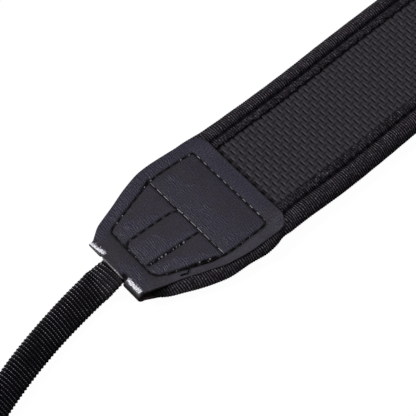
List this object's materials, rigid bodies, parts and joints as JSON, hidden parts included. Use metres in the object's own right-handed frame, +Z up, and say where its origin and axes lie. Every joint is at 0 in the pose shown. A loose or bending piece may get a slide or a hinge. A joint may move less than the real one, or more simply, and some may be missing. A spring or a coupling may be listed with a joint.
{
  "type": "camera neck strap",
  "caption": "Padded camera neck strap lying flat, with a woven-texture band, bound edges, folded leather end tabs and narrow webbing tails that end in loops.",
  "frame": {"origin": "on the table, under the middle of the whole strap's box", "axes": "+X along the padded band, +Y across it away from the end loops, +Z up"},
  "size_m": [0.7238, 0.1816, 0.0132],
  "materials": {
    "foam": "plain knit-faced foam",
    "woven_facing": "embossed with a plain weave, satin",
    "ribbed_knit": "fine cross ribs, matt",
    "leather": "fine crinkled grain, semi-matt",
    "webbing": "coarse cross ribs",
    "slider_plastic": "moulded, satin"
  },
  "bodies": {
    "root": {"padded_band": "foam", "woven_panel": "woven_facing", "edge_binding_far": "ribbed_knit", "edge_binding_near": "ribbed_knit", "end_tab_left": "leather", "end_tab_right": "leather", "webbing_left": "webbing", "webbing_right": "webbing", "slider_left": "slider_plastic", "slider_right": "slider_plastic"}
  },
  "joints": []
}
